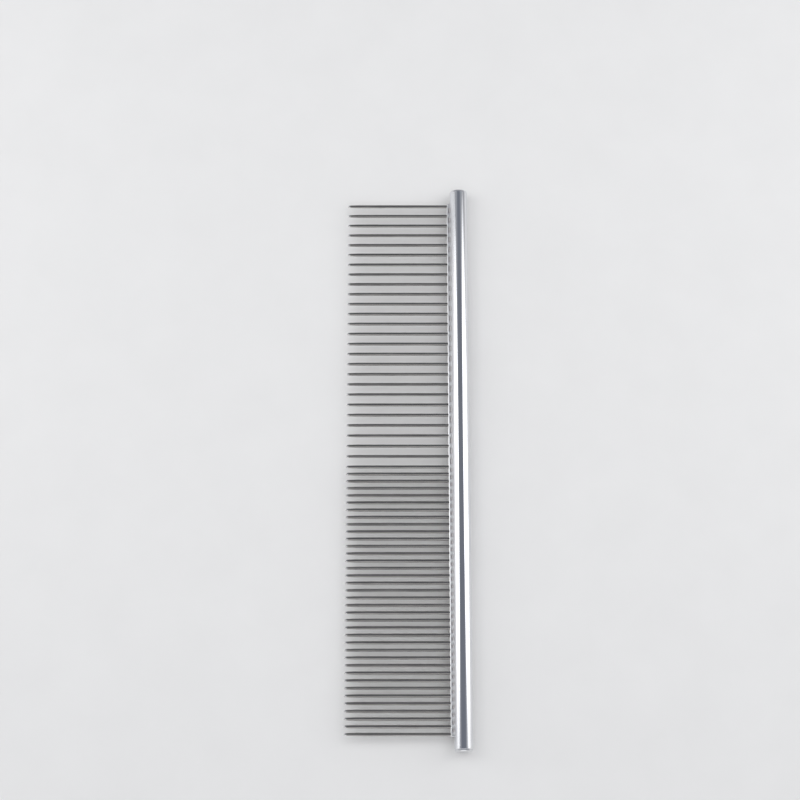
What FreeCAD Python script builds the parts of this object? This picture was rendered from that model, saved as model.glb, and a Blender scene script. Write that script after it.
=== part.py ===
import FreeCAD, Part

import math
import os

import Sketcher

# Steel grooming comb: a slotted tubular spine, a crimped rail that carries one row of
# wire pins, and a plug in each end of the tube. Half of the row is coarse, half is fine.
#
# Frame, in millimetres: the spine runs along Y with the coarse half at +Y, the pins point
# along -X and lie in one level plane, and +Z is up. The origin is the centre of the
# bounding box in X and Y, on the surface that the spine rests on.

DRIVING_DIMENSIONS = (
    ("overall_length", 236.0, "along the spine, over both plug heads"),
    ("overall_width", 51.0, "from the back of the spine to the pin tips"),
    ("spine_diameter", 7.5, "outside of the tube"),
    ("spine_wall", 0.8, "sheet that the tube is rolled from"),
    ("spine_edge_break", 0.2, "chamfer round the outside of each tube end"),
    ("plug_head_diameter", 7.3, "head of an end plug"),
    ("plug_head_thickness", 0.9, "head that stands out of the tube"),
    ("plug_head_rounding", 0.7, "rounding of the head's rim"),
    ("plug_lead", 0.4, "chamfer that leads the shank in"),
    ("rail_thickness", 2.0, "height of the rail, and width of the tube's seam"),
    ("rail_stand_out", 1.5, "from the tube's pin side to the rail's lip"),
    ("rail_depth", 3.7, "from the lip to the back of the flange"),
    ("rail_flange_width", 4.0, "flange behind the seam, inside the tube"),
    ("rail_flange_thickness", 0.6, "the flange along X"),
    ("rail_end_margin", 1.0, "rail left beyond the first and last pin"),
    ("rail_lip_rounding", 0.9, "rounding of the lip's edges"),
    ("crimp_inset", 1.2, "from the lip to the middle of a crimp"),
    ("crimp_half_width", 0.45, "semi-axis of the crimping punch along X"),
    ("crimp_drop", 0.7, "semi-axis of the crimping punch along Z"),
    ("crimp_rise", 0.32, "centre of the punch above the rail's face"),
    ("crimp_clearance", 0.75, "from a pin's axis to the punch on either side"),
    ("pin_diameter", 1.3, "wire of the pins"),
    ("pin_tip_diameter", 1.1, "wire where the taper meets the round tip"),
    ("pin_taper_length", 5.0, "from the tip to the full diameter"),
    ("pin_root_chamfer", 0.15, "chamfer of the pin's hidden end"),
    ("pin_root_stub", 0.5, "pin that stands out behind the rail, inside the tube"),
    ("coarse_count", 27, "pins in the coarse half"),
    ("coarse_pitch", 4.4, "from pin to pin in the coarse half"),
    ("fine_count", 36, "pins in the fine half"),
    ("fine_pitch", 3.0, "from pin to pin in the fine half, and across the change"),
)
FINE_PINS_PER_NODE = 2

# Names for the numbers that sketch constraints take: a point of a curve, the sketch's
# origin, and its horizontal axis.
START, END, CENTRE = 1, 2, 3
SKETCH_ORIGIN = (-1, 1)
SKETCH_X_AXIS = -1
SAME_PLACE = 1e-4

# Places that several pieces share, worked out from the driving dimensions.
SPINE_AXIS_X = "(dims.overall_width / 2 - dims.spine_diameter / 2)"
SPINE_AXIS_Z = "(dims.spine_diameter / 2)"
TUBE_HALF_LENGTH = "(dims.overall_length / 2 - dims.plug_head_thickness)"
LIP_X = "(dims.overall_width / 2 - dims.spine_diameter - dims.rail_stand_out)"
COARSE_LENGTH = "((dims.coarse_count - 1) * dims.coarse_pitch)"
FIRST_PIN_Y = f"(({COARSE_LENGTH} + dims.fine_count * dims.fine_pitch) / 2)"
PLUG_SHANK_LENGTH = f"({TUBE_HALF_LENGTH} - {FIRST_PIN_Y} - dims.rail_end_margin)"

document = FreeCAD.newDocument("grooming_comb")
subparts = []


def make_sheet():
    """The spreadsheet that holds every driving dimension under its alias."""
    sheet = document.addObject("Spreadsheet::Sheet", "dims")
    for row, (alias, value, note) in enumerate(DRIVING_DIMENSIONS, start=1):
        sheet.set(f"A{row}", alias)
        sheet.set(f"B{row}", str(value))
        sheet.setAlias(f"B{row}", alias)
        sheet.set(f"C{row}", note)
    document.recompute()
    return sheet


def make_body(name, x="0", y="0", z="0"):
    """An empty body called name, placed by three expressions."""
    body = document.addObject("PartDesign::Body", name)
    body.Label = name
    body.setExpression("Placement.Base.x", x)
    body.setExpression("Placement.Base.y", y)
    body.setExpression("Placement.Base.z", z)
    subparts.append(body)
    return body


def origin_feature(body, role):
    """One of the body's own origin planes or axes, such as XZ_Plane."""
    return next(item for item in body.Origin.OriginFeatures if item.Role == role)


def make_sketch(body, plane, name):
    """A sketch on one of the body's origin planes."""
    sketch = body.newObject("Sketcher::SketchObject", name)
    sketch.AttachmentSupport = (origin_feature(body, plane), [""])
    sketch.MapMode = "FlatFace"
    return sketch


def value_of(sketch, expression):
    """The number that an expression has now."""
    return float(sketch.evalExpression(expression))


def bind(sketch, kind, expression, *geometry):
    """A dimension of the sketch whose value is the expression."""
    value = value_of(sketch, expression)
    index = sketch.addConstraint(Sketcher.Constraint(kind, *geometry, value))
    sketch.setExpression(f"Constraints[{index}]", expression)


def hold_point(sketch, place, curve, point):
    """Hold a point of a curve at a pair of expressions, measured from the sketch's origin."""
    bind(sketch, "DistanceX", place[0], *SKETCH_ORIGIN, curve, point)
    bind(sketch, "DistanceY", place[1], *SKETCH_ORIGIN, curve, point)


def join(sketch, curve_a, point_a, curve_b, point_b):
    """Make two points of two curves one point."""
    sketch.addConstraint(Sketcher.Constraint("Coincident", curve_a, point_a, curve_b, point_b))


def add_circle(sketch, diameter, centre=("0", "0")):
    """A circle whose diameter and centre are expressions."""
    place = FreeCAD.Vector(value_of(sketch, centre[0]), value_of(sketch, centre[1]), 0)
    radius = value_of(sketch, diameter) / 2
    circle = sketch.addGeometry(Part.Circle(place, FreeCAD.Vector(0, 0, 1), radius))
    bind(sketch, "Diameter", diameter, circle)
    hold_point(sketch, centre, circle, CENTRE)


def add_lines(sketch, corners, closed=True):
    """Straight lines through corners, each a pair of expressions, and back again if closed.

    Returns the first and the last line.
    """
    first = sketch.GeometryCount
    points = [FreeCAD.Vector(value_of(sketch, x), value_of(sketch, y), 0) for x, y in corners]
    if closed:
        points.append(points[0])
    for start, end in zip(points, points[1:]):
        sketch.addGeometry(Part.LineSegment(start, end))
    last = sketch.GeometryCount - 1
    for line in range(first, last + 1):
        hold_point(sketch, corners[line - first], line, START)
    for line in range(first, last):
        join(sketch, line, END, line + 1, START)
    if closed:
        join(sketch, last, END, first, START)
    else:
        hold_point(sketch, corners[-1], last, END)
    return first, last


def add_pad(body, sketch, length, name):
    """Material on both sides of the sketch, length in all."""
    pad = body.newObject("PartDesign::Pad", name)
    pad.Profile = sketch
    pad.SideType = "Symmetric"
    pad.setExpression("Length", length)
    return pad


def add_pocket_through(body, sketch, name):
    """A cut right through the body on both sides of the sketch."""
    pocket = body.newObject("PartDesign::Pocket", name)
    pocket.Profile = sketch
    pocket.SideType = "Symmetric"
    pocket.Type = "ThroughAll"
    return pocket


def add_revolution(body, sketch, axis, name):
    """The sketch turned once round one of the body's origin axes."""
    revolution = body.newObject("PartDesign::Revolution", name)
    revolution.Profile = sketch
    revolution.ReferenceAxis = (origin_feature(body, axis), [""])
    revolution.Angle = 360
    return revolution


def add_edge_feature(body, kind, base, wanted, property_name, expression, name):
    """A fillet or chamfer on the edges of base for which wanted(edge) is true."""
    document.recompute()
    edges = [f"Edge{number}" for number, edge in enumerate(base.Shape.Edges, start=1) if wanted(edge)]
    feature = body.newObject(f"PartDesign::{kind}", name)
    feature.Base = (base, edges)
    feature.setExpression(property_name, expression)
    return feature


def add_row(body, original, pitch, count, name):
    """Copies of a feature along the body's -Y, the first one where the original is."""
    pattern = body.newObject("PartDesign::LinearPattern", name)
    pattern.Originals = [original]
    pattern.Direction = (origin_feature(body, "Y_Axis"), [""])
    pattern.Reversed = True
    pattern.Mode = "Spacing"
    pattern.setExpression("Offset", pitch)
    pattern.setExpression("Occurrences", count)
    body.Tip = pattern
    return pattern


def near(value, target):
    """Whether two lengths are the same but for rounding."""
    return abs(value - target) < SAME_PLACE


def make_spine_tube(sheet):
    """Sheet steel rolled to a tube, its seam left open along the pin side."""
    body = make_body("spine_tube", SPINE_AXIS_X, "0", SPINE_AXIS_Z)
    section = make_sketch(body, "XZ_Plane", "tube_section")
    add_circle(section, "dims.spine_diameter")
    add_circle(section, "dims.spine_diameter - 2 * dims.spine_wall")
    add_pad(body, section, f"2 * {TUBE_HALF_LENGTH}", "tube")

    seam_outline = make_sketch(body, "XZ_Plane", "seam_outline")
    add_lines(seam_outline, (
        ("-dims.spine_diameter", "-dims.rail_thickness / 2"),
        ("-dims.spine_diameter / 4", "-dims.rail_thickness / 2"),
        ("-dims.spine_diameter / 4", "dims.rail_thickness / 2"),
        ("-dims.spine_diameter", "dims.rail_thickness / 2"),
    ))
    seam = add_pocket_through(body, seam_outline, "seam")
    outer_radius = sheet.spine_diameter / 2
    add_edge_feature(
        body, "Chamfer", seam,
        lambda edge: isinstance(edge.Curve, Part.Circle) and near(edge.Curve.Radius, outer_radius),
        "Size", "dims.spine_edge_break", "end_edge_break",
    )


def make_end_plug(name, end):
    """A turned plug in one end of the tube; end is 1 for the coarse end and -1 for the fine."""
    body = make_body(name, SPINE_AXIS_X, f"{end} * {TUBE_HALF_LENGTH}", SPINE_AXIS_Z)
    if end < 0:
        body.Placement.Rotation = FreeCAD.Rotation(FreeCAD.Vector(0, 0, 1), 180)
    shank_radius = "(dims.spine_diameter / 2 - dims.spine_wall)"
    profile = make_sketch(body, "XY_Plane", "plug_profile")
    add_lines(profile, (
        ("0", f"-{PLUG_SHANK_LENGTH}"),
        (f"{shank_radius} - dims.plug_lead", f"-{PLUG_SHANK_LENGTH}"),
        (shank_radius, f"dims.plug_lead - {PLUG_SHANK_LENGTH}"),
        (shank_radius, "0"),
        ("dims.plug_head_diameter / 2", "0"),
        ("dims.plug_head_diameter / 2", "dims.plug_head_thickness"),
        ("0", "dims.plug_head_thickness"),
    ))
    turned = add_revolution(body, profile, "Y_Axis", "turned_plug")
    document.recompute()
    head_face = turned.Shape.BoundBox.YMax
    add_edge_feature(
        body, "Fillet", turned,
        lambda edge: isinstance(edge.Curve, Part.Circle) and near(edge.Curve.Center.y, head_face),
        "Radius", "dims.plug_head_rounding", "head_rounding",
    )


def make_pin_rail(sheet):
    """The strip in the seam: a flange inside the tube, a lip outside, and a hole for each pin.

    The body's origin is the middle of the lip, with +X into the tube.
    """
    body = make_body("pin_rail", LIP_X, "0", SPINE_AXIS_Z)
    web = "dims.rail_thickness / 2"
    flange = "dims.rail_flange_width / 2"
    flange_front = "dims.rail_depth - dims.rail_flange_thickness"
    section = make_sketch(body, "XZ_Plane", "rail_section")
    add_lines(section, (
        ("0", f"-{web}"),
        (flange_front, f"-{web}"),
        (flange_front, f"-{flange}"),
        ("dims.rail_depth", f"-{flange}"),
        ("dims.rail_depth", flange),
        (flange_front, flange),
        (flange_front, web),
        ("0", web),
    ))
    strip = add_pad(body, section, f"2 * ({FIRST_PIN_Y} + dims.rail_end_margin)", "strip")
    add_edge_feature(
        body, "Fillet", strip,
        lambda edge: near(edge.BoundBox.XMax, 0),
        "Radius", "dims.rail_lip_rounding", "lip_rounding",
    )
    first_fine_pin_y = f"({FIRST_PIN_Y} - {COARSE_LENGTH} - dims.fine_pitch)"
    halves = (
        ("coarse", FIRST_PIN_Y, "dims.coarse_pitch", "dims.coarse_count"),
        ("fine", first_fine_pin_y, "dims.fine_pitch", "dims.fine_count"),
    )
    for half, start, pitch, count in halves:
        hole_outline = make_sketch(body, "YZ_Plane", f"{half}_hole_outline")
        add_circle(hole_outline, "dims.pin_diameter", (start, "0"))
        hole = add_pocket_through(body, hole_outline, f"{half}_hole")
        add_row(body, hole, pitch, count, f"{half}_holes")
    crimp_rows = (
        ("coarse", FIRST_PIN_Y, "dims.coarse_pitch", "dims.coarse_count - 1"),
        ("fine", f"({FIRST_PIN_Y} - {COARSE_LENGTH})", "dims.fine_pitch", "dims.fine_count"),
    )
    for half, start, pitch, count in crimp_rows:
        for face, side in (("top", 1), ("bottom", -1)):
            crimp = body.newObject("PartDesign::SubtractiveEllipsoid", f"{half}_{face}_crimp")
            crimp.AttachmentSupport = (origin_feature(body, "XY_Plane"), [""])
            crimp.MapMode = "FlatFace"
            crimp.setExpression("AttachmentOffset.Base.x", "dims.crimp_inset")
            crimp.setExpression("AttachmentOffset.Base.y", f"{start} - {pitch} / 2")
            crimp.setExpression("AttachmentOffset.Base.z", f"{side} * ({web} + dims.crimp_rise)")
            crimp.setExpression("Radius1", "dims.crimp_drop")
            crimp.setExpression("Radius2", "dims.crimp_half_width")
            crimp.setExpression("Radius3", f"{pitch} / 2 - dims.crimp_clearance")
            add_row(body, crimp, pitch, count, f"{half}_{face}_crimps")


def make_pins(name, first_y, pitch, count):
    """A node of one or more pins; each body's origin is at the tip of its first pin."""
    body = make_body(name, "-dims.overall_width / 2", first_y, SPINE_AXIS_Z)
    body.AllowCompound = True
    tip_radius = "(dims.pin_tip_diameter / 2)"
    radius = "(dims.pin_diameter / 2)"
    length = f"({LIP_X} + dims.rail_depth + dims.pin_root_stub + dims.overall_width / 2)"
    profile = make_sketch(body, "XY_Plane", "pin_profile")
    shoulder, axis_line = add_lines(profile, (
        (tip_radius, tip_radius),
        ("dims.pin_taper_length", radius),
        (f"{length} - dims.pin_root_chamfer", radius),
        (length, f"{radius} - dims.pin_root_chamfer"),
        (length, "0"),
        ("0", "0"),
    ), closed=False)
    round_radius = value_of(profile, tip_radius)
    circle = Part.Circle(FreeCAD.Vector(round_radius, 0, 0), FreeCAD.Vector(0, 0, 1), round_radius)
    tip = profile.addGeometry(Part.ArcOfCircle(circle, math.pi / 2, math.pi))
    join(profile, tip, START, shoulder, START)
    join(profile, tip, END, axis_line, END)
    profile.addConstraint(Sketcher.Constraint("PointOnObject", tip, CENTRE, SKETCH_X_AXIS))
    pin = add_revolution(body, profile, "X_Axis", "pin")
    if count > 1:
        add_row(body, pin, pitch, str(count), "pins")


def check_document():
    """Stop if any object failed to build or any sub-part isn't a sound solid."""
    for item in document.Objects:
        if "Invalid" in item.State or "Error" in item.State:
            raise RuntimeError(f"{item.Name} did not build: {item.State}")
    for body in subparts:
        if body.Shape.isNull() or not body.Shape.isValid() or not body.Shape.Solids:
            raise RuntimeError(f"{body.Label} is not a valid solid")


sheet = make_sheet()
make_spine_tube(sheet)
make_end_plug("end_plug_coarse", 1)
make_end_plug("end_plug_fine", -1)
make_pin_rail(sheet)
for number in range(int(sheet.coarse_count)):
    place = f"{FIRST_PIN_Y} - {number} * dims.coarse_pitch"
    make_pins(f"coarse_pin_{number + 1:02d}", place, "dims.coarse_pitch", 1)
for number in range(0, int(sheet.fine_count), FINE_PINS_PER_NODE):
    place = f"{FIRST_PIN_Y} - {COARSE_LENGTH} - {number + 1} * dims.fine_pitch"
    last = number + FINE_PINS_PER_NODE
    make_pins(f"fine_pins_{number + 1:02d}_{last:02d}", place, "dims.fine_pitch", FINE_PINS_PER_NODE)
document.recompute()
check_document()

os.makedirs("parts", exist_ok=True)
for body in subparts:
    body.Shape.exportStep(f"parts/{body.Label}.step")
print(f"{len(subparts)} nodes, {sum(len(body.Shape.Solids) for body in subparts)} solids")
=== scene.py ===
import bisect
import math

import bpy
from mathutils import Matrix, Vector


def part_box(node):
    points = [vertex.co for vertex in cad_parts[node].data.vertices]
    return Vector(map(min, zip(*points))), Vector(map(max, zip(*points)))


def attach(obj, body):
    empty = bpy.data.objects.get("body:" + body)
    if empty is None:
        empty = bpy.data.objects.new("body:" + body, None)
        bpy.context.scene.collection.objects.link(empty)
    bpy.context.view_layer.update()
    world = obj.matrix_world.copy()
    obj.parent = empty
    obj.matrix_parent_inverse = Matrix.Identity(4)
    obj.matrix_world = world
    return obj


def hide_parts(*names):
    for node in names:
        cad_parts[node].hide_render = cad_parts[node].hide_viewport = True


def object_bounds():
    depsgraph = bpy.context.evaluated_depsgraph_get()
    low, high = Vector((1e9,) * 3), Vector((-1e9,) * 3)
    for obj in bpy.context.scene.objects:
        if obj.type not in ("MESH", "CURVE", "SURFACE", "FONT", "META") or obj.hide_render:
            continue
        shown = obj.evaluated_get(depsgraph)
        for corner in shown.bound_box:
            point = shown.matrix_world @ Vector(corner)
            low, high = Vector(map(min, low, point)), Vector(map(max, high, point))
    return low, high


# A steel grooming comb: a rolled tube for a spine, a crimped rail in the tube's open seam,
# a plug in each end, and one row of wire pins, half of it coarse and half fine. The spine
# runs along Y with the coarse half at +Y, the pins point along -X, and +Z is up.

MM = 0.001
BODY = "root"

# The tube's sheet, how its edges are rounded, and the play between its seam and the web.
# The crimps can reach the tube up to SEAM_LIP_REACH from the middle of the seam. The tool
# that clamped it left it satin there, fading out over PRESSED_LENGTH along X.
TUBE_WALL = 0.8 * MM
TUBE_END_ROUNDING = 0.22 * MM
SEAM_LIP_ROUNDING = 0.12 * MM
SEAM_LIP_REACH = math.radians(40)
SEAM_PLAY = 0.015 * MM
PRESSED_LENGTH = 2.2 * MM

# The rail: a rounded nose along the lip, a slope up to the seam, a web and a flange behind.
# Its ends are rounded. Above and below, the rounding fades out over the last RAIL_END_FADE
# of the crimped depth.
RAIL_NOSE_LENGTH = 0.78 * MM
RAIL_NOSE_HALF_HEIGHT = 0.82 * MM
RAIL_NOSE_REACH = math.radians(9.3)
RAIL_HALF_WEB = 0.985 * MM
RAIL_SLOPE_END = 1.66 * MM
RAIL_CRIMPED_DEPTH = 2.3 * MM
RAIL_FLANGE_THICKNESS = 0.6 * MM
RAIL_END_ROUNDING = 0.4 * MM
RAIL_END_FADE = 0.5

# The crimps: a punch between each pair of pins squeezes the rail and the seam's lips.
CRIMP_INSET = 1.27 * MM
CRIMP_HALF_WIDTH = 0.58 * MM
CRIMP_DEPTH = 0.34 * MM
CRIMP_SEAM_SHARE = 0.5
CRIMP_FALL_OFF = 1.5

# The swell: the strip stands higher over each pin, where the punch leaves it alone.
SWELL_HEIGHT = 0.13 * MM
SWELL_HALF_WIDTH = 0.8 * MM
SWELL_END = 1.9 * MM

# A shallow countersink round each pin where it leaves the rail.
COLLAR_RADIUS = 0.95 * MM
COLLAR_DEPTH = 0.1 * MM

# The pins: a long taper that ends in a rounded nose, with polish and a painted highlight at
# the tip.
PIN_TAPER_LENGTH = 5.0 * MM
PIN_NOSE_LENGTH = 1.0 * MM
PIN_TIP_SHARE = 1.1 / 1.3
PIN_BRIGHT_TIP_LENGTH = 1.5 * MM
PIN_ROOT_CHAMFER = 0.15 * MM

# The plugs: a turned head, slightly domed, on a shank inside the tube. The head's back
# edge is broken by a small chamfer, given along and across the plug's axis.
PLUG_HEAD_THICKNESS = 0.9 * MM
PLUG_RIM_ROUNDING = 0.7 * MM
PLUG_DOME = 0.096 * MM
PLUG_EDGE_BREAK = (0.02 * MM, 0.03 * MM)
PLUG_LEAD = 0.4 * MM
PLUG_PLAY = 0.01 * MM

# How finely the long pieces are divided along Y.
FINE_STEP = 0.2 * MM
STEPS_PER_SPAN = 16
END_STEPS = 8

# How finely the outlines are divided.
SEAM_FACE_STEPS = 3
SEAM_LIP_STEPS = 8
SEAM_STRIP_STEPS = 9
TUBE_BACK_STEPS = 56
TUBE_BORE_STEPS = 48
RAIL_NOSE_STEPS = 14
RAIL_SLOPE_STEPS = 9
RAIL_SEAT_STEPS = 7
PLUG_DOME_STEPS = 10
PLUG_RIM_STEPS = 12
PLUG_SEGMENTS = 96
PIN_NOSE_STEPS = 12
PIN_TAPER_STEPS = 8
PIN_SHAFT_STEPS = 10
PIN_SEGMENTS = 40

# The camera looks down on the comb, tilted towards its fine end.
VIEW_TILT = math.radians(16)
VIEW_DISTANCE = 0.7255
VIEW_OFFSET = Vector((-3.2 * MM, 25.3 * MM, 0))
LENS = 78.9
SENSOR = 36.0
CLIP_START = 0.01
CLIP_END = 20

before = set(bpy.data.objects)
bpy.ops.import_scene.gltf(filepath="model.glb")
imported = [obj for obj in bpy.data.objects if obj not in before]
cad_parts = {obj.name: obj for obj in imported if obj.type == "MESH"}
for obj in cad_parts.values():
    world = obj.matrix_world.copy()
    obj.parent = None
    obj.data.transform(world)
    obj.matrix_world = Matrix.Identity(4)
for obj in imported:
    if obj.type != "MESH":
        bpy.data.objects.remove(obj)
cad_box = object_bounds()
low, high = cad_box
centre = (low + high) / 2


def make_camera():
    """A camera above the comb, tilted towards -Y."""
    data = bpy.data.cameras.new("camera")
    data.lens = LENS
    data.sensor_width = SENSOR
    data.clip_start = CLIP_START
    data.clip_end = CLIP_END
    camera = bpy.data.objects.new("camera", data)
    target = centre + VIEW_OFFSET
    back = Vector((0, -math.sin(VIEW_TILT), math.cos(VIEW_TILT)))
    camera.location = target + VIEW_DISTANCE * back
    camera.rotation_euler = (VIEW_TILT, 0, 0)
    bpy.context.scene.collection.objects.link(camera)
    bpy.context.scene.camera = camera


# ---- mesh tools -------------------------------------------------------------------------


def make_object(name, points, faces, sharp_angle=40):
    """A smooth-shaded mesh object whose edges over sharp_angle degrees stay crisp."""
    mesh = bpy.data.meshes.new(name)
    mesh.from_pydata(points, [], faces)
    mesh.validate()
    mesh.shade_smooth()
    mesh.set_sharp_from_angle(angle=math.radians(sharp_angle))
    piece = bpy.data.objects.new(name, mesh)
    bpy.context.scene.collection.objects.link(piece)
    return piece


def add_attribute(piece, name, values):
    """A number on every vertex, which a material can read."""
    attribute = piece.data.attributes.new(name, "FLOAT", "POINT")
    attribute.data.foreach_set("value", values)


def arc(centre_point, radius, start, end, steps):
    """Points of an arc, both ends included; angles in radians."""
    angles = [start + (end - start) * step / steps for step in range(steps + 1)]
    return [
        (centre_point[0] + radius * math.cos(a), centre_point[1] + radius * math.sin(a))
        for a in angles
    ]


def smoothstep(share):
    """From 0 to 1, level at both ends."""
    return share * share * (3 - 2 * share)


def span_stations(start, end):
    """Places along Y from start to end, and which of them the coarse parts use.

    The places crowd together at both ends, where edges are rounded.
    """
    rounding = max(TUBE_END_ROUNDING, RAIL_END_ROUNDING)
    crowd = [rounding * (1 - math.cos(math.pi / 2 * k / END_STEPS)) for k in range(END_STEPS)]
    inner_start, inner_end = start + rounding, end - rounding
    spans = round((inner_end - inner_start) / FINE_STEP / STEPS_PER_SPAN)
    steps = spans * STEPS_PER_SPAN
    middle = [inner_start + (inner_end - inner_start) * k / steps for k in range(steps + 1)]
    places = [start + c for c in crowd] + middle + [end - c for c in reversed(crowd)]
    coarse = list(range(END_STEPS))
    coarse += [END_STEPS + k * STEPS_PER_SPAN for k in range(spans + 1)]
    coarse += list(range(END_STEPS + steps + 1, len(places)))
    return places, coarse


def sweep(name, profile, places, coarse, shape):
    """A closed profile swept along Y.

    profile is a list of (x, z, fine); a point that isn't fine only has vertices at the
    coarse places. shape(x, y, z) returns the final point and the crimp's share there.
    """
    points, shares, index = [], [], {}
    for i, (x, z, fine) in enumerate(profile):
        for j in range(len(places)) if fine else coarse:
            point, share = shape(x, places[j], z)
            index[i, j] = len(points)
            points.append(point)
            shares.append(share)
    faces = []
    every = list(range(len(places)))
    for i in range(len(profile)):
        n = (i + 1) % len(profile)
        fine_here, fine_next = profile[i][2], profile[n][2]
        if fine_here and fine_next:
            pairs = zip(every, every[1:])
        else:
            pairs = zip(coarse, coarse[1:])
        for a, b in pairs:
            here = range(a, b + 1) if fine_here and not fine_next else (a, b)
            beyond = range(b, a - 1, -1) if fine_next and not fine_here else (b, a)
            faces.append([index[i, j] for j in here] + [index[n, j] for j in beyond])
    last = len(places) - 1
    faces.append([index[i, 0] for i in range(len(profile))])
    faces.append([index[i, last] for i in reversed(range(len(profile)))])
    piece = make_object(name, points, faces)
    add_attribute(piece, "crimp", shares)
    return piece


def lathe_mesh(profile, place, segments):
    """Points and faces of a profile of (along, radius) turned round an axis.

    place(along, across, up) puts a point in the frame. The first and last radius are 0.
    """
    points, faces = [place(profile[0][0], 0, 0)], []
    rings = profile[1:-1]
    for along, radius in rings:
        for k in range(segments):
            angle = 2 * math.pi * k / segments
            points.append(place(along, radius * math.cos(angle), radius * math.sin(angle)))
    points.append(place(profile[-1][0], 0, 0))
    end = len(points) - 1
    for k in range(segments):
        n = (k + 1) % segments
        faces.append((0, 1 + n, 1 + k))
        for ring in range(len(rings) - 1):
            a = 1 + ring * segments
            b = a + segments
            faces.append((a + k, a + n, b + n, b + k))
        a = 1 + (len(rings) - 1) * segments
        faces.append((a + k, a + n, end))
    return points, faces


def rounding_inset(distance, rounding):
    """How far a rounded edge falls back at a distance from its end."""
    if distance >= rounding:
        return 0.0
    short = rounding - distance
    return rounding - math.sqrt(max(0.0, rounding**2 - short**2))


# ---- where things are, read from the frame ----------------------------------------------

tube_low, tube_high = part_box("spine_tube")
tube_radius = (tube_high.z - tube_low.z) / 2
axis_x = tube_high.x - tube_radius
axis_z = (tube_high.z + tube_low.z) / 2

rail_low, rail_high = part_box("pin_rail")
lip_x = rail_low.x
rail_depth = rail_high.x - rail_low.x
half_flange = (rail_high.z - rail_low.z) / 2


def pin_groups():
    """Each pin node with the places of its pins along Y, the coarse end first."""
    groups = []
    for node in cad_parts:
        if node.startswith(("coarse_pin_", "fine_pins_")):
            pin_low, pin_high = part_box(node)
            radius = (pin_high.z - pin_low.z) / 2
            # Both ends of a node with one pin give the same place.
            ends = {round(pin_high.y - radius, 6), round(pin_low.y + radius, 6)}
            groups.append((node, sorted(ends, reverse=True)))
    return sorted(groups, key=lambda group: -group[1][0])


groups = pin_groups()
pin_places = sorted(place for _, places in groups for place in places)
pin_low, pin_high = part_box(groups[0][0])
pin_radius = (pin_high.z - pin_low.z) / 2
gap_centres = [(a + b) / 2 for a, b in zip(pin_places, pin_places[1:])]
gap_halves = [(b - a) / 2 for a, b in zip(pin_places, pin_places[1:])]


def nearest(places, value):
    """The number of the place nearest to value in a sorted list."""
    after = bisect.bisect(places, value)
    near = [k for k in (after - 1, after) if 0 <= k < len(places)]
    return min(near, key=lambda k: abs(places[k] - value))


def crimp_share(x, y):
    """From 0 outside a crimp to 1 at the deepest part of one."""
    across = (x - lip_x - CRIMP_INSET) / CRIMP_HALF_WIDTH
    if abs(across) >= 1:
        return 0.0
    gap = nearest(gap_centres, y)
    straight = gap_halves[gap] - pin_radius - CRIMP_HALF_WIDTH
    along = max(0.0, abs(y - gap_centres[gap]) - straight) / CRIMP_HALF_WIDTH
    return max(0.0, 1 - across**2 - along**2) ** CRIMP_FALL_OFF


# ---- the pieces -------------------------------------------------------------------------


def tube_profile():
    """The tube's section round its axis, from the seam's upper face over the back."""
    inner = tube_radius - TUBE_WALL
    lip = SEAM_LIP_ROUNDING
    half_seam = RAIL_HALF_WEB + SEAM_PLAY
    lip_z = half_seam + lip
    lip_centre = (-math.sqrt((tube_radius - lip) ** 2 - lip_z**2), lip_z)
    lip_angle = math.atan2(lip_z, lip_centre[0])
    inner_x = -math.sqrt(inner**2 - half_seam**2)
    run = lip_centre[0] - inner_x
    seam_face = [
        (inner_x + run * k / SEAM_FACE_STEPS, half_seam, True) for k in range(SEAM_FACE_STEPS)
    ]
    corner = arc(lip_centre, lip, math.pi * 1.5, lip_angle, SEAM_LIP_STEPS)
    reach = math.pi - SEAM_LIP_REACH
    strip = arc((0, 0), tube_radius, lip_angle, reach, SEAM_STRIP_STEPS)[1:]
    back = arc((0, 0), tube_radius, reach, 0, TUBE_BACK_STEPS)[1:]
    upper = seam_face + [(x, z, True) for x, z in corner + strip]
    upper += [(x, z, False) for x, z in back]
    lower = [(x, -z, fine) for x, z, fine in reversed(upper[:-1])]
    inner_edge = math.atan2(half_seam, inner_x)
    bore = arc((0, 0), inner, -inner_edge, inner_edge, TUBE_BORE_STEPS)[1:-1]
    return upper + lower + [(x, z, False) for x, z in bore]


def make_tube():
    """The spine: sheet rolled to a tube, with crimped lips along its open seam."""
    places, coarse = span_stations(tube_low.y, tube_high.y)

    def shape(x, y, z):
        distance = min(y - tube_low.y, tube_high.y - y)
        limit = tube_radius - rounding_inset(distance, TUBE_END_ROUNDING)
        radius = math.hypot(x, z)
        scale = min(1.0, limit / radius)
        x, z = x * scale + axis_x, z * scale
        share = crimp_share(x, y) if radius > tube_radius - TUBE_WALL / 2 else 0.0
        z -= math.copysign(CRIMP_SEAM_SHARE * CRIMP_DEPTH * share, z)
        return (x, y, z + axis_z), share

    return sweep("spine", tube_profile(), places, coarse, shape)


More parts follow.
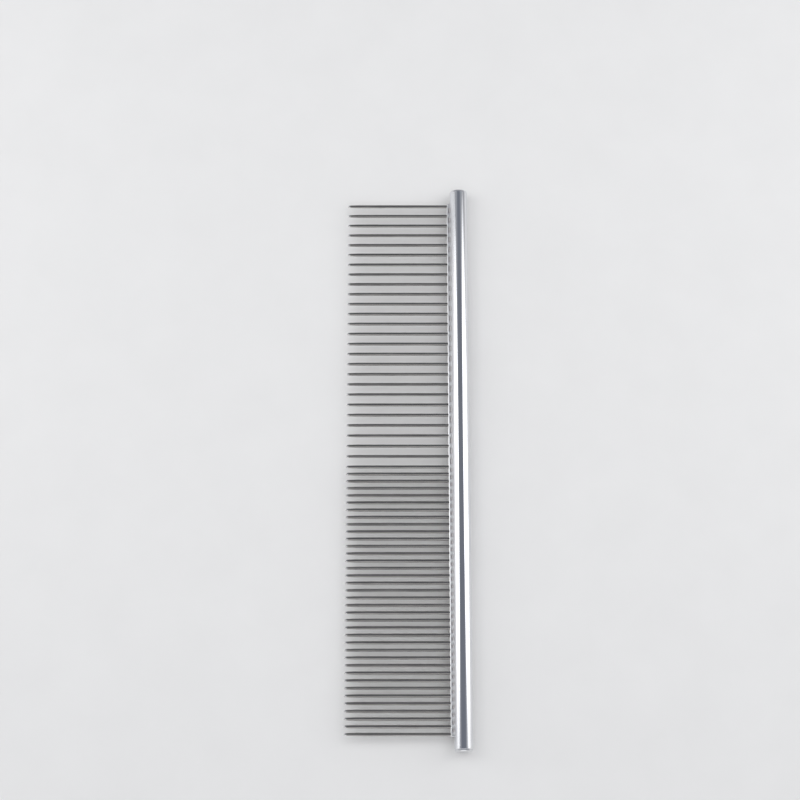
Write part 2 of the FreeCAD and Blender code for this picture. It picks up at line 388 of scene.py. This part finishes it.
def rail_profile():
    """The rail's section, from the middle of its nose; x counts from the lip."""
    squeeze = RAIL_NOSE_LENGTH / RAIL_NOSE_HALF_HEIGHT
    nose_end = math.pi / 2 + RAIL_NOSE_REACH
    round_nose = arc((0, 0), RAIL_NOSE_HALF_HEIGHT, math.pi, nose_end, RAIL_NOSE_STEPS)
    nose = [(RAIL_NOSE_LENGTH + x * squeeze, z, True) for x, z in round_nose]
    nose_x, nose_z, _ = nose[-1]
    run, rise = RAIL_SLOPE_END - nose_x, RAIL_HALF_WEB - nose_z
    slope = [
        (nose_x + run * k / RAIL_SLOPE_STEPS, nose_z + rise * k / RAIL_SLOPE_STEPS, True)
        for k in range(1, RAIL_SLOPE_STEPS)
    ]
    run = RAIL_CRIMPED_DEPTH - RAIL_SLOPE_END
    seat = [
        (RAIL_SLOPE_END + run * k / RAIL_SEAT_STEPS, RAIL_HALF_WEB, True)
        for k in range(RAIL_SEAT_STEPS + 1)
    ]
    flange_front = rail_depth - RAIL_FLANGE_THICKNESS
    hidden = [
        (flange_front, RAIL_HALF_WEB, False),
        (flange_front, half_flange, False),
        (rail_depth, half_flange, False),
    ]
    upper = nose + slope + seat + hidden
    lower = [(x, -z, fine) for x, z, fine in reversed(upper[1:])]
    return upper + lower


def pin_swell(x, off_pin):
    """How far the strip swells at x from the lip and off_pin from a pin, from 0 to 1."""
    across = 1 - (off_pin / SWELL_HALF_WIDTH) ** 2
    rise = (x - RAIL_NOSE_LENGTH) / (RAIL_SLOPE_END - RAIL_NOSE_LENGTH)
    fall = (SWELL_END - x) / (SWELL_END - RAIL_SLOPE_END)
    return max(0.0, across) ** 2 * max(0.0, min(rise, fall, 1.0))


def make_rail():
    """The rail: crimped between the pins, with a swell and a countersink at each pin."""
    places, coarse = span_stations(rail_low.y, rail_high.y)

    def shape(x, y, z):
        distance = min(y - rail_low.y, rail_high.y - y)
        inset = rounding_inset(distance, RAIL_END_ROUNDING)
        front = max(0.0, 1 - x / RAIL_CRIMPED_DEPTH)
        x += inset * front
        narrowing = inset * min(1.0, front / RAIL_END_FADE)
        z -= math.copysign(min(abs(z), narrowing), z)
        share = crimp_share(x + lip_x, y)
        along = y - pin_places[nearest(pin_places, y)]
        lift = SWELL_HEIGHT * pin_swell(x, along) - CRIMP_DEPTH * share
        z += math.copysign(1, z) * lift
        off_pin = math.hypot(along, z)
        if off_pin < COLLAR_RADIUS and x < RAIL_NOSE_LENGTH:
            x += COLLAR_DEPTH * (1 - (off_pin / COLLAR_RADIUS) ** 2)
        return (x + lip_x, y, z + axis_z), share

    return sweep("crimped_rail", rail_profile(), places, coarse, shape)


def make_plug(name, node):
    """A turned plug: a domed head with a rounded rim, and a shank inside the tube."""
    plug_low, plug_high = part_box(node)
    outward = 1 if plug_high.y > centre.y else -1
    face_y = plug_high.y if outward > 0 else plug_low.y
    length = plug_high.y - plug_low.y
    head = (plug_high.z - plug_low.z) / 2
    shank = tube_radius - TUBE_WALL - PLUG_PLAY
    crown = head - PLUG_RIM_ROUNDING
    dome = [
        (-PLUG_DOME * share**2, crown * share)
        for share in (k / PLUG_DOME_STEPS for k in range(PLUG_DOME_STEPS + 1))
    ]
    rim = [
        (
            -PLUG_DOME - PLUG_RIM_ROUNDING * (1 - math.cos(angle)),
            crown + PLUG_RIM_ROUNDING * math.sin(angle),
        )
        for angle in (math.pi / 2 * k / PLUG_RIM_STEPS for k in range(1, PLUG_RIM_STEPS + 1))
    ]
    under = [
        (PLUG_EDGE_BREAK[0] - PLUG_HEAD_THICKNESS, head),
        (-PLUG_HEAD_THICKNESS, head - PLUG_EDGE_BREAK[1]),
        (-PLUG_HEAD_THICKNESS, shank),
        (PLUG_LEAD - length, shank),
        (-length, shank - PLUG_LEAD),
        (-length, 0),
    ]
    points, faces = lathe_mesh(
        dome + rim + under,
        lambda along, across, up: (
            axis_x + across * outward, face_y + outward * along, axis_z + up
        ),
        PLUG_SEGMENTS,
    )
    faces = [tuple(reversed(face)) for face in faces]
    return make_object(name, points, faces)


def pin_profile(length):
    """The pin's outline from its tip, as (along, radius)."""
    tip = pin_radius * PIN_TIP_SHARE
    nose = [
        (PIN_NOSE_LENGTH * (1 - math.cos(angle)), tip * math.sin(angle))
        for angle in (math.pi / 2 * k / PIN_NOSE_STEPS for k in range(PIN_NOSE_STEPS + 1))
    ]
    run = PIN_TAPER_LENGTH - PIN_NOSE_LENGTH
    taper = [
        (PIN_NOSE_LENGTH + run * share, tip + (pin_radius - tip) * smoothstep(share))
        for share in (k / PIN_TAPER_STEPS for k in range(1, PIN_TAPER_STEPS + 1))
    ]
    run = length - PIN_ROOT_CHAMFER - PIN_TAPER_LENGTH
    shaft = [
        (PIN_TAPER_LENGTH + run * k / PIN_SHAFT_STEPS, pin_radius)
        for k in range(1, PIN_SHAFT_STEPS + 1)
    ]
    root = [(length, pin_radius - PIN_ROOT_CHAMFER), (length, 0)]
    return nose + taper + shaft + root


def make_pins(name, node, places):
    """The pins of one node, each turned round its own axis."""
    node_low, node_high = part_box(node)
    profile = pin_profile(node_high.x - node_low.x)
    points, faces = [], []
    for y in places:
        more_points, more_faces = lathe_mesh(
            profile,
            lambda along, across, up: (node_low.x + along, y + across, axis_z + up),
            PIN_SEGMENTS,
        )
        first = len(points)
        points += more_points
        faces += [tuple(first + k for k in face) for face in more_faces]
    return make_object(name, points, faces)


# ---- materials --------------------------------------------------------------------------

PER_MM = 1 / MM

# How fine each pattern is: how many features for each millimetre along X, Y and Z. The
# spine's lines run along Y and the pins' along X.
SPINE_CLOUDS = (0.22 * PER_MM, 0.05 * PER_MM, 0.22 * PER_MM)
SPINE_LINES = (9 * PER_MM, 0.06 * PER_MM, 9 * PER_MM)
SPINE_WAVES = (0.16 * PER_MM, 0.05 * PER_MM, 0.16 * PER_MM)
RAIL_CLOUDS = (0.5 * PER_MM, 0.2 * PER_MM, 0.5 * PER_MM)
RAIL_GRAIN = (7 * PER_MM, 2.5 * PER_MM, 7 * PER_MM)
PLUG_CLOUDS = (0.4 * PER_MM, 0.4 * PER_MM, 0.4 * PER_MM)
PLUG_RINGS = 1.1 * PER_MM
PIN_CLOUDS = (0.1 * PER_MM, 0.8 * PER_MM, 0.3 * PER_MM)
PIN_LINES = (0.05 * PER_MM, 14 * PER_MM, 14 * PER_MM)
BOARD_MOTTLE = (0.04 * PER_MM, 0.04 * PER_MM, 0.04 * PER_MM)
BOARD_GRAIN = (0.9 * PER_MM, 0.9 * PER_MM, 0.9 * PER_MM)

# The colours that a pattern runs between, as (place, colour) along a ramp.
SPINE_TINT = ((0.3, (0.76, 0.77, 0.80)), (0.7, (0.84, 0.845, 0.86)))
RAIL_TINT = ((0.3, (0.73, 0.73, 0.735)), (0.7, (0.83, 0.83, 0.835)))
# The crimps' colour below is darker partly from the punch's scuffs and partly as painted
# shade in the dents.
SCUFFED_AND_SHADED_TINT = ((0.3, (0.50, 0.485, 0.48)), (0.7, (0.72, 0.70, 0.69)))
PLUG_TINT = ((0.3, (0.74, 0.75, 0.77)), (0.7, (0.83, 0.835, 0.85)))
# The wire's colour below is partly the steel's own and partly painted shade, darker than bare
# steel.
PIN_STEEL_AND_SHADE_TINT = ((0.3, (0.27, 0.262, 0.252)), (0.7, (0.38, 0.368, 0.355)))
# The tips' colour below is brighter partly from polish and partly as a painted highlight.
PIN_TIP_POLISH_AND_HIGHLIGHT_TINT = ((0.3, (0.70, 0.695, 0.69)), (0.7, (0.78, 0.775, 0.77)))
BOARD_TINT = ((0.3, (0.795, 0.79, 0.78)), (0.7, (0.815, 0.81, 0.80)))

# What the wire's reflections are tinted with towards its edges.
PIN_SPECULAR_TINT = (0.8, 0.785, 0.77, 1.0)

# The roughness that a pattern runs between, as (place, roughness) along a ramp.
SPINE_ROUGHNESS = ((0.35, 0.055), (0.75, 0.12))
SPINE_PRESSED_ROUGHNESS = ((0.3, 0.42), (0.7, 0.52))
SPINE_SCUFFED_ROUGHNESS = ((0.3, 0.32), (0.7, 0.45))
RAIL_ROUGHNESS = ((0.35, 0.30), (0.75, 0.42))
RAIL_SCUFFED_ROUGHNESS = ((0.3, 0.40), (0.7, 0.52))
PLUG_ROUGHNESS = ((0.2, 0.09), (0.8, 0.17))
PIN_ROUGHNESS = ((0.3, 0.12), (0.75, 0.22))
BOARD_ROUGHNESS = 0.7

# Where a finish starts and ends: the scuffs and painted shade by the crimp's share, the
# pressed part of the spine along PRESSED_LENGTH, and the plain part of a pin along
# PIN_BRIGHT_TIP_LENGTH.
SPINE_SCUFF_AND_SHADE = ((0.15, 0.0), (0.6, 1.0))
RAIL_SCUFF_AND_SHADE = ((0.0, 0.0), (0.35, 1.0))
SPINE_PRESSED = ((0.3, 1.0), (1.0, 0.0))
PIN_PLAIN = ((0.5, 0.0), (1.0, 1.0))


def add_ramp(tree, value, stops):
    """A ramp over value in a node tree; each stop is (place, grey or colour)."""
    node = tree.nodes.new("ShaderNodeValToRGB")
    elements = node.color_ramp.elements
    while len(elements) < len(stops):
        elements.new(1.0)
    for element, (place, colour) in zip(elements, stops):
        element.position = place
        if not hasattr(colour, "__len__"):
            colour = (colour, colour, colour)
        element.color = (*colour, 1.0)
    tree.links.new(value, node.inputs["Fac"])
    return node.outputs["Color"]


class Shader:
    """A material's node tree, with short ways to add what the materials here need."""

    def __init__(self, name):
        self.material = bpy.data.materials.new(name)
        self.material.use_nodes = True
        self.tree = self.material.node_tree
        self.tree.nodes.clear()
        output = self.tree.nodes.new("ShaderNodeOutputMaterial")
        self.surface = self.tree.nodes.new("ShaderNodeBsdfPrincipled")
        self.link(self.surface.outputs["BSDF"], output.inputs["Surface"])
        self.place = self.tree.nodes.new("ShaderNodeTexCoord").outputs["Object"]

    def link(self, source, target):
        self.tree.links.new(source, target)

    def mapped(self, scale, offset=(0, 0, 0)):
        """The object's own coordinates, moved and stretched."""
        node = self.tree.nodes.new("ShaderNodeMapping")
        node.inputs["Location"].default_value = offset
        node.inputs["Scale"].default_value = scale
        self.link(self.place, node.inputs["Vector"])
        return node.outputs["Vector"]

    def along_x(self, start, length):
        """From 0 to 1 over a length along X from start."""
        node = self.tree.nodes.new("ShaderNodeSeparateXYZ")
        moved = self.mapped((1 / length, 1, 1), (-start / length, 0, 0))
        self.link(moved, node.inputs["Vector"])
        return node.outputs["X"]

    def noise(self, vector, detail=3.0, roughness=0.55):
        """Noise of unit size in the given coordinates."""
        node = self.tree.nodes.new("ShaderNodeTexNoise")
        node.inputs["Scale"].default_value = 1.0
        node.inputs["Detail"].default_value = detail
        node.inputs["Roughness"].default_value = roughness
        self.link(vector, node.inputs["Vector"])
        return node.outputs["Fac"]

    def ramp(self, value, *stops):
        return add_ramp(self.tree, value, stops)

    def mix(self, factor, first, second):
        """second over first by factor."""
        node = self.tree.nodes.new("ShaderNodeMix")
        node.data_type = "RGBA"
        self.link(factor, node.inputs["Factor"])
        self.link(first, node.inputs["A"])
        self.link(second, node.inputs["B"])
        return node.outputs["Result"]

    def attribute(self, name):
        node = self.tree.nodes.new("ShaderNodeAttribute")
        node.attribute_name = name
        return node.outputs["Fac"]

    def bump(self, height, strength, distance, under=None):
        """Relief of a height in metres, over any relief that comes before it."""
        node = self.tree.nodes.new("ShaderNodeBump")
        node.inputs["Strength"].default_value = strength
        node.inputs["Distance"].default_value = distance
        self.link(height, node.inputs["Height"])
        if under is not None:
            self.link(under, node.inputs["Normal"])
        return node.outputs["Normal"]


def bright_metal(name):
    shader = Shader(name)
    shader.surface.inputs["Metallic"].default_value = 1.0
    return shader


def spine_material():
    """Bright chrome with faint lengthwise polishing lines, satin beside the seam; scuffs and
    painted shade darken the crimps.
    """
    shader = bright_metal("bright_chrome")
    clouds = shader.noise(shader.mapped(SPINE_CLOUDS), detail=4.0)
    lines = shader.noise(shader.mapped(SPINE_LINES), detail=4.0, roughness=0.6)
    waves = shader.noise(shader.mapped(SPINE_WAVES), detail=1.0)
    tint = shader.ramp(clouds, *SPINE_TINT)
    # The crimps get a darker colour: partly scuffs from the punch, partly painted shade in
    # the dents.
    scuff_and_shade = shader.ramp(shader.attribute("crimp"), *SPINE_SCUFF_AND_SHADE)
    worn_and_shaded = shader.ramp(lines, *SCUFFED_AND_SHADED_TINT)
    shader.link(shader.mix(scuff_and_shade, tint, worn_and_shaded), shader.surface.inputs["Base Color"])
    gloss = shader.ramp(lines, *SPINE_ROUGHNESS)
    satin = shader.ramp(lines, *SPINE_PRESSED_ROUGHNESS)
    dull = shader.ramp(lines, *SPINE_SCUFFED_ROUGHNESS)
    from_seam = shader.along_x(tube_low.x, PRESSED_LENGTH)
    pressed = shader.ramp(from_seam, *SPINE_PRESSED)
    gloss = shader.mix(pressed, gloss, satin)
    shader.link(shader.mix(scuff_and_shade, gloss, dull), shader.surface.inputs["Roughness"])
    relief = shader.bump(waves, strength=0.35, distance=0.05 * MM)
    relief = shader.bump(lines, strength=0.12, distance=0.004 * MM, under=relief)
    shader.link(relief, shader.surface.inputs["Normal"])
    return shader.material


def rail_material():
    """Satin plating, duller where the punch squeezed it; scuffs and painted shade darken it
    there.
    """
    shader = bright_metal("plated_rail")
    clouds = shader.noise(shader.mapped(RAIL_CLOUDS), detail=4.0)
    grain = shader.noise(shader.mapped(RAIL_GRAIN), detail=4.0, roughness=0.6)
    tint = shader.ramp(clouds, *RAIL_TINT)
    # The crimps get a darker colour: partly scuffs from the punch, partly painted shade in
    # the dents.
    scuff_and_shade = shader.ramp(shader.attribute("crimp"), *RAIL_SCUFF_AND_SHADE)
    worn_and_shaded = shader.ramp(grain, *SCUFFED_AND_SHADED_TINT)
    shader.link(shader.mix(scuff_and_shade, tint, worn_and_shaded), shader.surface.inputs["Base Color"])
    gloss = shader.ramp(grain, *RAIL_ROUGHNESS)
    dull = shader.ramp(grain, *RAIL_SCUFFED_ROUGHNESS)
    shader.link(shader.mix(scuff_and_shade, gloss, dull), shader.surface.inputs["Roughness"])
    relief = shader.bump(grain, strength=0.25, distance=0.01 * MM)
    shader.link(relief, shader.surface.inputs["Normal"])
    return shader.material


def plug_material():
    """Chrome with fine turning marks round the plug's axis."""
    shader = bright_metal("turned_plug")
    clouds = shader.noise(shader.mapped(PLUG_CLOUDS), detail=3.0)
    shader.link(shader.ramp(clouds, *PLUG_TINT), shader.surface.inputs["Base Color"])
    rings = shader.tree.nodes.new("ShaderNodeTexWave")
    rings.wave_type = "RINGS"
    rings.rings_direction = "Y"
    rings.inputs["Scale"].default_value = 1.0
    rings.inputs["Distortion"].default_value = 0.6
    rings.inputs["Detail"].default_value = 2.0
    from_axis = shader.mapped(
        (PLUG_RINGS, PLUG_RINGS, PLUG_RINGS), (-axis_x * PLUG_RINGS, 0, -axis_z * PLUG_RINGS)
    )
    shader.link(from_axis, rings.inputs["Vector"])
    roughness = shader.ramp(rings.outputs["Fac"], *PLUG_ROUGHNESS)
    shader.link(roughness, shader.surface.inputs["Roughness"])
    relief = shader.bump(rings.outputs["Fac"], strength=0.2, distance=0.006 * MM)
    shader.link(relief, shader.surface.inputs["Normal"])
    return shader.material


def pin_material():
    """Drawn steel wire: draw lines, a slightly uneven dark tone that is partly painted shade,
    and tips brightened by polish and a painted highlight.
    """
    shader = bright_metal("drawn_wire")
    shader.surface.inputs["Specular Tint"].default_value = PIN_SPECULAR_TINT
    clouds = shader.noise(shader.mapped(PIN_CLOUDS), detail=4.0)
    lines = shader.noise(shader.mapped(PIN_LINES), detail=4.0, roughness=0.6)
    from_tip = shader.along_x(low.x, PIN_BRIGHT_TIP_LENGTH)
    plain = shader.ramp(from_tip, *PIN_PLAIN)
    # The shaft's dark colour is partly painted shade.
    tint = shader.ramp(clouds, *PIN_STEEL_AND_SHADE_TINT)
    # The tips are brighter partly from polish and partly as a painted highlight.
    polish_and_highlight = shader.ramp(clouds, *PIN_TIP_POLISH_AND_HIGHLIGHT_TINT)
    shader.link(shader.mix(plain, polish_and_highlight, tint), shader.surface.inputs["Base Color"])
    shader.link(shader.ramp(lines, *PIN_ROUGHNESS), shader.surface.inputs["Roughness"])
    relief = shader.bump(lines, strength=0.15, distance=0.006 * MM)
    shader.link(relief, shader.surface.inputs["Normal"])
    return shader.material


def floor_material():
    """A pale matt board with a hardly visible mottle."""
    shader = Shader("pale_board")
    mottle = shader.noise(shader.mapped(BOARD_MOTTLE), detail=6.0)
    grain = shader.noise(shader.mapped(BOARD_GRAIN), detail=3.0)
    shader.link(shader.ramp(mottle, *BOARD_TINT), shader.surface.inputs["Base Color"])
    shader.surface.inputs["Roughness"].default_value = BOARD_ROUGHNESS
    relief = shader.bump(grain, strength=0.1, distance=0.05 * MM)
    shader.link(relief, shader.surface.inputs["Normal"])
    return shader.material


# ---- stage ------------------------------------------------------------------------------

FLOOR_HALF = 4.0
FLOOR_DROP = 0.01 * MM

# A softbox on each side is a stack of ellipses, each smaller and nearer than the last, so
# that it fades towards its rim. Its place and its size are (along Y, up).
SOFTBOX_X = 0.55
SOFTBOX_PLACE = (0.165, 0.44)
SOFTBOX_SIZE = (0.38, 0.98)
SOFTBOX_LEAN = math.radians(16)
SOFTBOX_RADIANCE = 1.8
SOFTBOX_RINGS = (1.2, 1.07, 0.93, 0.8)
SOFTBOX_STEP = 0.004

# The panel at the fine end: its place and its target are (along Y, up).
FRONT_PLACE = (-0.9, 0.5)
FRONT_TARGET = (0, 0.05)
FRONT_SIZE = (1.0, 0.5)
FRONT_RADIANCE = 1.3

# A wide sun for even light, and the studio's tone by how far up a direction points.
FILL_ANGLE = math.radians(100)
FILL_STRENGTH = 1.3
SKY = (
    (0.0, (0.66, 0.66, 0.67)),
    (0.3, (0.38, 0.385, 0.40)),
    (0.82, (0.36, 0.37, 0.40)),
    (0.91, (0.18, 0.193, 0.226)),
)


def make_floor():
    """The pale surface that the comb lies on."""
    corners = [(-FLOOR_HALF, -FLOOR_HALF), (FLOOR_HALF, -FLOOR_HALF)]
    corners += [(FLOOR_HALF, FLOOR_HALF), (-FLOOR_HALF, FLOOR_HALF)]
    points = [(centre.x + x, centre.y + y, low.z - FLOOR_DROP) for x, y in corners]
    floor = make_object("floor", points, [(0, 1, 2, 3)])
    floor.data.materials.append(floor_material())


def make_panel(name, location, target, width, height, radiance, shape="RECTANGLE"):
    """A softbox that faces target; radiance is what it looks like face on."""
    data = bpy.data.lights.new(name, "AREA")
    data.shape = shape
    data.size = width
    data.size_y = height
    area = width * height * (math.pi / 4 if shape == "ELLIPSE" else 1)
    data.energy = radiance * math.pi * area
    panel = bpy.data.objects.new(name, data)
    panel.location = location
    aim = Vector(target) - Vector(location)
    panel.rotation_euler = aim.to_track_quat("-Z", "Y").to_euler()
    panel.visible_camera = False
    bpy.context.scene.collection.objects.link(panel)
    return panel


def make_lights():
    """A soft-edged softbox on each side, a low one at the fine end, and an even fill."""
    y, z = centre.y + SOFTBOX_PLACE[0], SOFTBOX_PLACE[1]
    for name, side in (("left", -1), ("right", 1)):
        for ring, share in enumerate(SOFTBOX_RINGS):
            x = centre.x + side * (SOFTBOX_X - ring * SOFTBOX_STEP)
            box = make_panel(
                f"{name}_softbox_{ring}", (x, y, z), (centre.x, y, z),
                SOFTBOX_SIZE[0] * share, SOFTBOX_SIZE[1] * share,
                SOFTBOX_RADIANCE / len(SOFTBOX_RINGS), "ELLIPSE",
            )
            box.rotation_euler.rotate_axis("Z", -side * SOFTBOX_LEAN)
    front = make_panel(
        "front_panel",
        (centre.x, centre.y + FRONT_PLACE[0], FRONT_PLACE[1]),
        (centre.x, centre.y + FRONT_TARGET[0], FRONT_TARGET[1]),
        *FRONT_SIZE, FRONT_RADIANCE,
    )
    front.visible_diffuse = False
    data = bpy.data.lights.new("fill", "SUN")
    data.angle = FILL_ANGLE
    data.energy = FILL_STRENGTH
    fill = bpy.data.objects.new("fill", data)
    fill.visible_glossy = False
    bpy.context.scene.collection.objects.link(fill)


def make_world():
    """Light all round: pale near the horizon, grey above it and dim overhead."""
    world = bpy.data.worlds.new("studio")
    world.use_nodes = True
    tree = world.node_tree
    direction = tree.nodes.new("ShaderNodeTexCoord").outputs["Generated"]
    split = tree.nodes.new("ShaderNodeSeparateXYZ")
    tree.links.new(direction, split.inputs["Vector"])
    sky = add_ramp(tree, split.outputs["Z"], SKY)
    tree.links.new(sky, tree.nodes["Background"].inputs["Color"])
    bpy.context.scene.world = world


def dress(piece, material, slot, *nodes):
    """Finish a piece: its material, its body, and the CAD nodes it stands for; slot is not
    used.
    """
    piece.data.materials.append(material)
    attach(piece, BODY)
    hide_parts(*nodes)


make_camera()
bpy.context.scene.view_settings.view_transform = "Standard"
make_floor()
make_lights()
make_world()

dress(make_tube(), spine_material(), "spine_plating", "spine_tube")
dress(make_rail(), rail_material(), "rail_plating", "pin_rail")
turned = plug_material()
dress(make_plug("plug_coarse", "end_plug_coarse"), turned, "plug_plating", "end_plug_coarse")
dress(make_plug("plug_fine", "end_plug_fine"), turned, "plug_plating", "end_plug_fine")
wire = pin_material()
for node, places in groups:
    piece = make_pins("wire_" + node, node, places)
    dress(piece, wire, "pin_steel", node)

bpy.context.view_layer.update()
